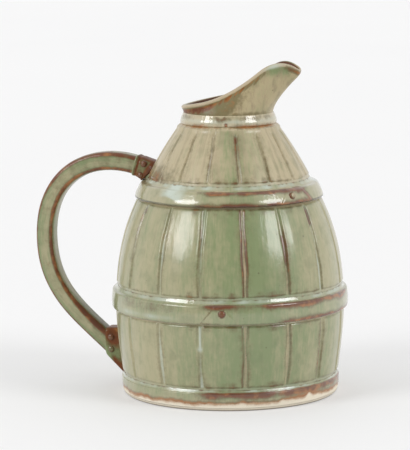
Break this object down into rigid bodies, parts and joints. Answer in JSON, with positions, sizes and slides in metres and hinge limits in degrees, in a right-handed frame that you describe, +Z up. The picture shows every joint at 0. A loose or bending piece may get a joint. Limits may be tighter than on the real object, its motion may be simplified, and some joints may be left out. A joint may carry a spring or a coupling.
{
  "type": "barrel pitcher",
  "caption": "Glazed stoneware pitcher shaped like a hooped barrel, with a staved wall, drawn pouring lip and riveted loop handle.",
  "frame": {"origin": "centre of the flat foot, on the axis of the barrel", "axes": "+Z up, +X towards the pouring lip, -X towards the handle"},
  "size_m": [0.2106, 0.1563, 0.2175],
  "materials": {
    "celadon": "glossy celadon glaze",
    "celadon_buff": "glossy celadon glaze, buff where thin",
    "iron_brown": "glaze broken to iron brown",
    "bare_clay": "unglazed stoneware"
  },
  "bodies": {
    "root": {"base_disc": "bare_clay", "barrel_wall": "celadon", "shoulder_wall": "celadon_buff", "base_hoop": "celadon", "belly_hoop": "celadon", "shoulder_hoop": "celadon_buff", "neck_band": "celadon_buff", "spout": "celadon_buff", "handle": "celadon", "upper_cuff": "iron_brown", "lower_cuff": "iron_brown", "belly_hoop_rivet": "iron_brown", "shoulder_hoop_rivet": "iron_brown", "upper_cuff_rivets": "iron_brown", "lower_cuff_rivets": "iron_brown"}
  },
  "joints": []
}
